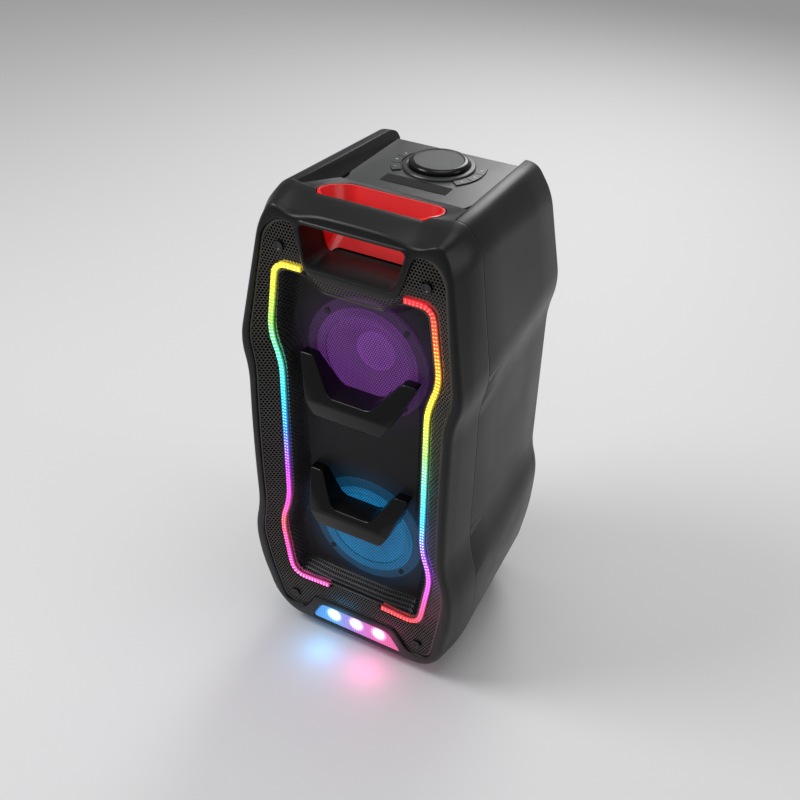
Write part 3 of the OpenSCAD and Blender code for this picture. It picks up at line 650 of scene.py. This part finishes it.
# %% Rear cabinet
SEAM = 0.8
WALL = 5
ROOF_Z = PANEL_Z - 11
BACK_ROLL = [(1, 8), (2.5, 4), (4, 1.6), (6.5, 0)]
REAR_W, REAR_H, REAR_Z = 200, 130, 580
SEAT_GAP = 0.4
PORT_R, PORT_Z = 34, 150
SCREWS = [(x, z) for x in (-125, 125) for z in (100, 220, 480, 600)]

cabinet_rings = [flat_ring(inset(PARTING_EDGE, 0.7), FRAME_D + SEAM),
                 flat_ring(PARTING_EDGE, FRAME_D + SEAM + 0.9)]
for t in (0.25, 0.5, 0.75, 1):
    side_depth = FRAME_D + t * (BODY_D - 12 - FRAME_D)
    cabinet_rings.append(flat_ring(between(PARTING_EDGE, REAR_EDGE, 0.95 * t), side_depth))
cabinet_rings += [flat_ring(inset(REAR_EDGE, d), BODY_D - depth) for d, depth in BACK_ROLL]
cavity = loft([flat_ring(inset(PARTING_EDGE, WALL), FRAME_D - 1),
               flat_ring(inset(REAR_EDGE, WALL + 1), BODY_D - WALL - 2)])
below_deck = side_prism([(0, 0), (0, ROOF_Z), (BEYOND, ROOF_Z), (BEYOND, 0)], 200)
cavity = cut(cavity, [below_deck], "INTERSECT")
trough_front = [(-88.4, 640), (88.4, 640), (88.4, PANEL_Z), (115, 728), (-115, 728), (-88.4, PANEL_Z)]
trough_side = [(20, 706), (FRAME_D, 706), (DECK_F, PANEL_Z + 1), (DECK_F, PANEL_Z - 3),
               (BEYOND, PANEL_Z - 3), (BEYOND, 760), (20, 760)]
trough = cut(front_prism(trough_front, 20, BEYOND), [side_prism(trough_side, 150)], "INTERSECT")


def block(x0, x1, depth0, depth1, z0, z1):
    return front_prism([(x0, z0), (x1, z0), (x1, z1), (x0, z1)], depth0, depth1)


def rod(radius, depth0, depth1, x, z, segments=48):
    bm = bmesh.new()
    turn = Matrix.Translation(place(x, (depth0 + depth1) / 2, z)) @ Matrix.Rotation(math.pi / 2, 4, "X")
    bmesh.ops.create_cone(bm, cap_ends=True, radius1=radius * MM, radius2=radius * MM,
                          depth=(depth1 - depth0) * MM, segments=segments, matrix=turn)
    bmesh.ops.recalc_face_normals(bm, faces=bm.faces)
    return bm


seat_x = REAR_W / 2 + SEAT_GAP
seat_z = REAR_H / 2 + SEAT_GAP
cabinet_cutters = [cavity, trough, bowl(BOWL_WALL), block(-76, 76, 142, 270, 600, PANEL_Z),
                   block(-92, 92, 200, BEYOND, REAR_Z - 57, REAR_Z + 57),
                   block(-seat_x, seat_x, BODY_D - 3, BEYOND, REAR_Z - seat_z, REAR_Z + seat_z),
                   rod(PORT_R + 3.4, 200, BEYOND, 0, PORT_Z),
                   rod(PORT_R + 12.4, BODY_D - 2, BEYOND, 0, PORT_Z)]
cabinet_cutters += [rod(5.4, BODY_D - 3.4, BEYOND, x, z, 24) for x, z in SCREWS]
shell_bm = cut(loft(cabinet_rings), cabinet_cutters, soften=0.8)
finished("rear_shell", shell_bm, [finish["shell"]], stands_for=["rear_cabinet"])

# %% [markdown]
# The handle's liner is a thin red bowl. Its outer hull less its inner hull leaves the wall, the front is
# open for the fingers, and its rim is trimmed along the sloping deck. Softened edges give it the light
# line that a moulded rim shows.

# %% Handle liner
deck_side = [(SCOOP_F0, 600), (SCOOP_F0, 704.6), (FRAME_D, 706), (DECK_F, PANEL_Z + 1), (DECK_F, 600)]
finger_gap = block(-54, 54, SCOOP_F0 - 5, SCOOP_F0 + 4, 638, 680)
liner = cut(bowl(LINER_WALL), [bowl(0), finger_gap])
liner = cut(liner, [side_prism(deck_side, 100)], "INTERSECT", soften=0.8)
finished("handle_bowl", liner, [finish["handle_red"]], stands_for=["handle_liner"])

# %% [markdown]
# A perforated sheet starts as one six-sided cell. The cell is copied into a row and the row into a field,
# by doubling, so that a few copies make thousands. Cells outside the sheet's outline go, the shared edges
# are merged, and every cell is inset a little: the band round each cell is the steel between two holes,
# and the cell's middle is taken out to be the hole. Last, the flat field is pressed to its relief.


# %% Perforated sheet
FIELD_TOP = 720


def distance_to(points, edge):
    a = np.array(edge)
    b = np.roll(a, -1, axis=0)
    along = b - a
    length2 = np.maximum((along ** 2).sum(1), 1e-9)
    out = []
    for chunk in np.array_split(points, max(1, len(points) // 4000)):
        t = ((chunk[:, None] - a) * along).sum(2) / length2
        near = a + np.clip(t, 0, 1)[..., None] * along
        out.append(np.sqrt(((chunk[:, None] - near) ** 2).sum(2)).min(1))
    return np.concatenate(out)


def inside(points, edge):
    a = np.array(edge)
    b = np.roll(a, -1, axis=0)
    x, z = points[:, 0][:, None], points[:, 1][:, None]
    crosses = (a[:, 1] > z) != (b[:, 1] > z)
    with np.errstate(divide="ignore", invalid="ignore"):
        at = a[:, 0] + (z - a[:, 1]) * (b[:, 0] - a[:, 0]) / (b[:, 1] - a[:, 1])
    return (crosses & (x < at)).sum(1) % 2 == 1


def copied(bm, geom, step):
    made = bmesh.ops.duplicate(bm, geom=geom)["geom"]
    bmesh.ops.translate(bm, verts=[v for v in made if isinstance(v, bmesh.types.BMVert)], vec=step)


def doubled(bm, times, step):
    for i in range(times):
        copied(bm, bm.verts[:] + bm.edges[:] + bm.faces[:], step * 2 ** i)


def hex_field(pitch, web, low, keep):
    """Cells of the pitch, from the low corner up, where keep(centres) is true, each with its hole."""
    bm = bmesh.new()
    radius = pitch / math.sqrt(3)
    bmesh.ops.create_circle(bm, cap_ends=True, radius=radius, segments=6)
    bmesh.ops.translate(bm, verts=bm.verts, vec=(low[0], low[1], 0))
    copied(bm, bm.faces[:], Vector((pitch / 2, 1.5 * radius, 0)))
    doubled(bm, math.ceil(math.log2((-2 * low[0]) / pitch)), Vector((pitch, 0, 0)))
    doubled(bm, math.ceil(math.log2((FIELD_TOP - low[1]) / (3 * radius))), Vector((0, 3 * radius, 0)))
    bm.faces.ensure_lookup_table()
    centres = np.array([f.calc_center_median()[:2] for f in bm.faces])
    good = keep(centres)
    bmesh.ops.delete(bm, geom=[f for f, ok in zip(bm.faces, good) if not ok], context="FACES")
    bmesh.ops.remove_doubles(bm, verts=bm.verts, dist=0.05)
    cells = bm.faces[:]
    bmesh.ops.inset_individual(bm, faces=cells, thickness=web / 2, depth=0, use_even_offset=True)
    bmesh.ops.delete(bm, geom=cells, context="FACES_ONLY")
    return bm


def press(bm, relief):
    """Stands the flat field up: its x and y become across and height, and relief gives the depth."""
    flat = np.array([v.co[:2] for v in bm.verts])
    for v, (x, z), depth in zip(bm.verts, flat, relief(flat)):
        v.co = place(x, depth, z)
    bmesh.ops.recalc_face_normals(bm, faces=bm.faces)
    front = sum(f.normal.y * f.calc_area() for f in bm.faces)
    if front > 0:
        bmesh.ops.reverse_faces(bm, faces=bm.faces)
    return bm


grille_line = [tuple(p) for p in outline(inset(GRILLE_EDGE, 0.6))]
guide_line = [tuple(p) for p in outline(GUIDE_EDGE)]
recess_line = [tuple(p) for p in outline(RECESS_EDGE)]
SHEET_BACK = 3.6
STRIP_SHEET_F = 5
GRILLE_SCREWS = [(-98, 648), (98, 648), (-102, 66), (102, 66)]
SCREW_R = 6.5


def outer_relief(flat):
    outer = distance_to(flat, grille_line)
    inner = distance_to(flat, guide_line)
    share = outer / np.maximum(outer + inner, 1e-6)
    return (1 - share) * (front_depth(flat[:, 1]) + SHEET_BACK) + share * STRIP_SHEET_F


def outer_keep(flat):
    clear = np.all([np.hypot(flat[:, 0] - x, flat[:, 1] - z) > SCREW_R for x, z in GRILLE_SCREWS], axis=0)
    return inside(flat, grille_line) & ~inside(flat, guide_line) & clear


# %% [markdown]
# The outer sheet fills the space between the frame and the light strips, with the larger holes. The inner
# sheet is the deep pan in front of the woofers: it drops from the strips to a flat floor, and its holes
# are finer so that the cones show through.

# %% Grille sheets
OUTER_PITCH, OUTER_WEB = 4.3, 1.25
PAN_PITCH, PAN_WEB = 3.5, 0.9
outer_sheet = press(hex_field(OUTER_PITCH, OUTER_WEB, (-150, 30), outer_keep), outer_relief)
finished("outer_mesh", outer_sheet, [finish["grille"]], stands_for=["outer_grille"])

PAN_F = 30
PAN_SLOPE = 19


def pan_relief(flat):
    t = np.clip((distance_to(flat, recess_line) - 1) / PAN_SLOPE, 0, 1)
    return STRIP_SHEET_F + (PAN_F - STRIP_SHEET_F) * t * t * (3 - 2 * t)


def pan_keep(flat):
    return inside(flat, recess_line)


pan_sheet = press(hex_field(PAN_PITCH, PAN_WEB, (-120, 100), pan_keep), pan_relief)
finished("woofer_mesh", pan_sheet, [dark_mesh], stands_for=["woofer_grille"])

# %% [markdown]
# A cut sheet has a ragged edge, so a narrow folded rim covers it, along the frame, beside the strips and
# round the pan. A rim is a closed loft whose section is a small rounded box.


# %% Grille rims
def rim(name, half, width, depth_of):
    section = [(0, 1.4), (0, 0.3), (0.4, 0), (width - 0.4, 0), (width, 0.3), (width, 1.4), (0, 1.4)]
    rings = []
    for d, back in section:
        rings.append([place(p.x, depth_of(p.y) + back, p.y) for p in outline(inset(half, d))])
    finished(name, loft(rings, closed=True), [finish["grille"]])


rim("outer_mesh_rim", inset(GRILLE_EDGE, 0.5), 2.4, lambda z: front_depth(z) + 2.8)
rim("strip_rim", inset(GUIDE_EDGE, -1.8), 1.6, lambda z: 4.3)
rim("pan_rim", inset(RECESS_EDGE, 0.2), 1.8, lambda z: 4.2)

# %% [markdown]
# Each light strip shows two rows of bright points, one over each lamp on its board. A point is a small
# dome. The domes follow the strip's path at an even pitch, offset to either side of its middle.


# %% Light dots
def smooth_path(corners):
    flat = [c[:2] for c in corners]
    path = [Vector(flat[0])]
    for i in range(1, len(flat) - 1):
        path += bend(flat[i - 1], flat[i], flat[i + 1], corners[i][2])
    return path + [Vector(flat[-1])]


def along(path, pitch):
    """Points at an even pitch along a path, each with the direction there."""
    left = pitch / 2
    for a, b in zip(path, path[1:]):
        length = (b - a).length
        while left < length:
            yield a + (b - a) * (left / length), (b - a).normalized()
            left += pitch
        left -= length


DOT_PITCH = 5.0
DOT_R = 0.95
ROW_OFFSET = 1.55
for side, sign in (("left", -1), ("right", 1)):
    bm = bmesh.new()
    for point, heading in along(smooth_path(GUIDE_PATH), DOT_PITCH):
        for offset in (-ROW_OFFSET, ROW_OFFSET):
            spot = point + Vector((heading.y, -heading.x)) * offset
            at = Matrix.Translation(place(sign * spot.x, GUIDE_FACE, spot.y))
            bmesh.ops.create_icosphere(bm, subdivisions=1, radius=DOT_R * MM, matrix=at)
    finished(side + "_light_dots", bm, [side_light[side][1]])

# %% [markdown]
# A black bridge crosses the grille in front of each woofer, with a chin at the bottom and two arms that
# lean back as they rise. Its front outline is extruded, its slopes are cut by planes and its edges are
# bevelled.


# %% Bridges
BRIDGE_F = -12


def slice_off(bm, point, direction):
    geom = bm.verts[:] + bm.edges[:] + bm.faces[:]
    sliced = bmesh.ops.bisect_plane(bm, geom=geom, plane_co=point, plane_no=direction, clear_outer=True)
    rim_edges = [e for e in sliced["geom_cut"] if isinstance(e, bmesh.types.BMEdge)]
    bmesh.ops.contextual_create(bm, geom=rim_edges)
    bmesh.ops.recalc_face_normals(bm, faces=bm.faces)


def bridge(name, z0, spread_x):
    half = [(0, z0 + 44, 12), (30, z0 + 44, 8), (spread_x - 20, z0 + 84, 4), (spread_x, z0 + 84, 4),
            (56, z0 + 24, 10), (34, z0, 8), (0, z0, 12)]
    bm = front_prism([tuple(p) for p in outline(half)], BRIDGE_F, PAN_F - 0.1)
    slice_off(bm, place(0, BRIDGE_F, z0 + 34), Vector((0, -51, 28)))
    slice_off(bm, place(0, BRIDGE_F + 1, z0 + 14), Vector((0, -15, -15)))
    sharp = [e for e in bm.edges if e.is_manifold and e.calc_face_angle() > math.radians(30)]
    bmesh.ops.bevel(bm, geom=sharp, offset=1.4 * MM, affect="EDGES", segments=3, profile=0.5, material=-1,
                    clamp_overlap=True)
    finished(name + "_bridge", bm, [finish["trim_black"]], stands_for=[name + "_jaw"])


bridge("upper", 414, 84)
bridge("lower", 229, 76)

# %% [markdown]
# The volume knob is turned from one profile, so it is spun round its axis. Its side is a gloss black
# grip, its top is a shallow satin dish, and a raised ring with a groove surrounds it.

# %% Volume knob
KNOB_F = 222
KNOB_R = 39
KNOB_TOP = PANEL_Z + 10
DISH_R = KNOB_R - 7.5


def turned(profile, x, depth, steps=96):
    """A closed body, spun about an upright axis from (radius, height) points that end on the axis."""
    bm = bmesh.new()
    verts = [bm.verts.new(place(x + r, depth, z)) for r, z in profile]
    edges = [bm.edges.new(pair) for pair in zip(verts, verts[1:])]
    bmesh.ops.spin(bm, geom=verts + edges, cent=place(x, depth, 0), axis=(0, 0, 1), angle=2 * math.pi,
                   steps=steps, use_merge=True)
    bmesh.ops.remove_doubles(bm, verts=bm.verts, dist=1e-6)
    bmesh.ops.recalc_face_normals(bm, faces=bm.faces)
    return bm


knob_profile = [(0, PANEL_Z + 1), (KNOB_R - 1.5, PANEL_Z + 1), (KNOB_R - 0.6, PANEL_Z + 1.4),
                (KNOB_R, PANEL_Z + 2.6), (KNOB_R, KNOB_TOP - 4.4), (KNOB_R - 0.5, KNOB_TOP - 2.9),
                (KNOB_R - 1.8, KNOB_TOP - 1.3),
                (KNOB_R - 3.8, KNOB_TOP - 0.35), (KNOB_R - 6, KNOB_TOP), (KNOB_R - 7.2, KNOB_TOP - 0.15),
                (KNOB_R - 7.8, KNOB_TOP - 0.8), (12, KNOB_TOP - 1.3), (0, KNOB_TOP - 1.4)]
knob_bm = turned(knob_profile, 0, KNOB_F)
for face in knob_bm.faces:
    middle = face.calc_center_median()
    if (middle - place(0, KNOB_F, middle.z / MM)).length > DISH_R * MM:
        face.material_index = 1
finished("volume_dial", knob_bm, [finish["panel"], finish["trim_black"]],
         body="volume_knob", stands_for=["volume_knob"])

# %% [markdown]
# The lens at the foot is clear plastic with upright ribs, and it glows in three bright spots, blue on the
# left and pink on the right. The ribs are narrow half-round bars whose length follows the lens's outline.


# %% Foot lamp
RIB_PITCH = 3.2
RIB_R = 1.45
RIB_LOW, RIB_HIGH = 29, 65.2
FLAT_X = 55
TAPER = 1.9
SPOT_Z = 47


def lamp_finish():
    mat, tree, shader, where = start_finish("foot_lamp_glow", (0.2, 0.2, 0.22), 0.12)
    stops = [(-76, (0.02, 0.3, 1.0)), (-38, (0.05, 0.45, 1.0)), (-8, (0.45, 0.2, 0.95)),
             (38, (0.95, 0.1, 0.5)), (76, (1.0, 0.1, 0.35))]
    colour = colour_along(tree, where, "X", stops, -76, 76)
    split = tree.nodes.new("ShaderNodeSeparateXYZ")
    tree.links.new(where, split.inputs["Vector"])
    up = math_step(tree, "SUBTRACT", split.outputs["Z"], SPOT_Z * MM)
    up_squared = math_step(tree, "MULTIPLY", up, up)
    heat = None
    for spot in (-38, 0, 38):
        off = math_step(tree, "SUBTRACT", split.outputs["X"], spot * MM)
        off_squared = math_step(tree, "MULTIPLY", off, off)
        apart = math_step(tree, "SQRT", math_step(tree, "ADD", off_squared, up_squared))
        one = spread(tree, apart, 1, 0, 0.001, 0.015)
        heat = one if heat is None else math_step(tree, "MAXIMUM", heat, one)
    white = tree.nodes.new("ShaderNodeMix")
    white.data_type = "RGBA"
    tree.links.new(heat, white.inputs[0])
    colours = [s for s in white.inputs if s.type == "RGBA"]
    tree.links.new(colour, colours[0])
    colours[1].default_value = (1, 0.95, 1, 1)
    tree.links.new([s for s in white.outputs if s.type == "RGBA"][0], shader.inputs["Emission Color"])
    turns = math_step(tree, "MULTIPLY", split.outputs["X"], 2 * math.pi / (RIB_PITCH * MM))
    rib = math_step(tree, "SINE", turns)
    heat = math_step(tree, "MULTIPLY", heat, heat)
    glow = math_step(tree, "MULTIPLY_ADD", heat, 7.0, 0.62)
    tree.links.new(math_step(tree, "MULTIPLY", glow, spread(tree, rib, 0.6, 1.25, -1, 1)),
                   shader.inputs["Emission Strength"])
    return mat


lamp_glow = lamp_finish()
LENS_F = front_depth(SPOT_Z) + 3
lens_edge = outline([(x - 0.3 if x else 0, z, size) for x, z, size in LAMP_EDGE])
lens_bm = front_prism([tuple(p) for p in lens_edge], LENS_F + 1.2, LENS_F + 3)
for i in range(-22, 23):
    x = i * RIB_PITCH
    top = RIB_HIGH - max(0, abs(x) - FLAT_X) * TAPER
    if top < RIB_LOW + 5:
        continue
    at = Matrix.Translation(place(x, LENS_F + 1.5, (top + RIB_LOW) / 2))
    bmesh.ops.create_cone(lens_bm, cap_ends=True, segments=10, radius1=RIB_R * MM, radius2=RIB_R * MM,
                          depth=(top - RIB_LOW) * MM, matrix=at)
finished("foot_lens", lens_bm, [lamp_glow], stands_for=["lamp_lens"])
nodes["lamp_leds"].data.materials[0] = lamp_glow

# %% [markdown]
# Small white symbols mark the keys: plain bars, triangles and crosses. Each is a thin plate that lies on
# its key and rides with it. A bar is a cube scaled flat, and a triangle is a three-sided disc.


# %% Key symbols
ink = moulded("printed_white", (0.62, 0.63, 0.64), 0.5, 0.1)
KEY_MIDDLE_R = 55.25
KEY_TOP = PANEL_Z + 1.6
MARK_H = 0.1
KEYS = {"left_key_1": 167.6, "left_key_2": 190, "left_key_3": 212.4, "right_key_1": -32.4,
        "right_key_2": -10, "right_key_3": 12.4}


def on_key(x, depth):
    return Matrix.Translation(place(x, depth, KEY_TOP + MARK_H / 2))


def bar(bm, x, depth, w, d):
    at = on_key(x, depth) @ Matrix.Diagonal((w * MM, d * MM, MARK_H * MM, 1))
    bmesh.ops.create_cube(bm, size=1, matrix=at)


def arrow(bm, x, depth, r, turn):
    at = on_key(x, depth) @ Matrix.Rotation(turn, 4, "Z")
    bmesh.ops.create_cone(bm, cap_ends=True, segments=3, radius1=r * MM, radius2=r * MM,
                          depth=MARK_H * MM, matrix=at)


for i, (key, angle) in enumerate(KEYS.items()):
    x = KEY_MIDDLE_R * math.cos(math.radians(angle))
    depth = KNOB_F + KEY_MIDDLE_R * math.sin(math.radians(angle))
    bm = bmesh.new()
    if i in (0, 5):
        bar(bm, x, depth, 3.6, 0.7)
        bar(bm, x, depth, 0.7, 3.6)
    elif i in (1, 4):
        arrow(bm, x - 0.6, depth, 1.7, -math.pi / 2 if i == 4 else math.pi / 2)
        bar(bm, x + (1.6 if i == 4 else -2.2), depth, 0.6, 2.8)
    else:
        bar(bm, x, depth, 3.4, 0.7)
    finished(key + "_mark", bm, [ink], body=key)

# %% [markdown]
# The floor is a plain pale sheet, and the light is soft: one large lamp high on the left as the main
# light, one wide and weak from the right to draw the side, one behind for the edges and one overhead for
# the top panel. The Standard view keeps the lamps' colours saturated.

# %% Floor and lights
floor_bm = bmesh.new()
bmesh.ops.create_grid(floor_bm, x_segments=1, y_segments=1, size=6)
floor_mesh = bpy.data.meshes.new("studio_floor")
floor_bm.to_mesh(floor_mesh)
floor_bm.free()
studio_floor = bpy.data.objects.new("studio_floor", floor_mesh)
bpy.context.scene.collection.objects.link(studio_floor)
floor_mesh.materials.append(start_finish("pale_floor", (0.8, 0.8, 0.81), 0.65)[0])


def soft_lamp(name, location, target, size, power, colour=(1, 1, 1)):
    data = bpy.data.lights.new(name, "AREA")
    data.shape, data.size, data.energy, data.color = "DISK", size, power, colour
    lamp = bpy.data.objects.new(name, data)
    lamp.location = location
    lamp.rotation_euler = (Vector(target) - Vector(location)).to_track_quat("-Z", "Y").to_euler()
    bpy.context.scene.collection.objects.link(lamp)


soft_lamp("main_lamp", (-1.6, -1.0, 2.6), (0, 0, 0.4), 1.2, 34)
soft_lamp("side_lamp", (2.6, 0.4, 1.4), (0, 0, 0.35), 1.2, 8)
soft_lamp("rim_lamp", (-0.4, 2.4, 1.9), (0, 0, 0.5), 1.2, 24)
soft_lamp("top_lamp", (0.3, 0.1, 3.0), (0, 0, 0.5), 1.8, 16)
bpy.context.scene.view_settings.view_transform = "Standard"

# %% [markdown]
# The foot lamp lights the floor. Two small coloured lamps in front of the lens throw its blue and pink
# down there more evenly than the small bright lens would.


# %% Glow lamps
def glow_lamp(name, at, radius, power, colour):
    data = bpy.data.lights.new(name, "POINT")
    data.energy, data.color, data.shadow_soft_size = power, colour, radius * MM
    lamp = bpy.data.objects.new(name, data)
    lamp.location = at
    lamp.visible_camera = False
    bpy.context.scene.collection.objects.link(lamp)


glow_lamp("foot_blue", place(-42, -26, 30), 22, 0.05, (0.02, 0.5, 1.0))
glow_lamp("foot_pink", place(36, -26, 30), 22, 0.05, (1.0, 0.06, 0.35))

# %% [markdown]
# A dim white world fills the shadows, so that the black plastic doesn't sink to nothing.

# %% World
world = bpy.data.worlds.new("studio")
world.use_nodes = True
world.node_tree.nodes["Background"].inputs["Color"].default_value = (1, 1, 1, 1)
world.node_tree.nodes["Background"].inputs["Strength"].default_value = 0.3
bpy.context.scene.world = world

# %% [markdown]
# The camera stands to the right of the front and looks down on it. Its direction is given by two angles, and
# it leans a little about its own axis.

# %% Camera
CAMERA_AT = Vector((0.5475, -1.0353, 1.2282))
AZIMUTH, ELEVATION, ROLL = (math.radians(a) for a in (28.03, 36.07, 1.21))
LENS_MM, SENSOR_MM = 47.2, 36
forward = Vector((-math.sin(AZIMUTH) * math.cos(ELEVATION), math.cos(AZIMUTH) * math.cos(ELEVATION),
                  -math.sin(ELEVATION)))
camera_data = bpy.data.cameras.new("studio_camera")
camera_data.sensor_width = SENSOR_MM
camera_data.lens = LENS_MM
camera = bpy.data.objects.new("studio_camera", camera_data)
camera.rotation_mode = "QUATERNION"
camera.rotation_quaternion = forward.to_track_quat("-Z", "Y") @ Matrix.Rotation(ROLL, 3, "Z").to_quaternion()
camera.location = CAMERA_AT
bpy.context.scene.collection.objects.link(camera)
bpy.context.scene.camera = camera
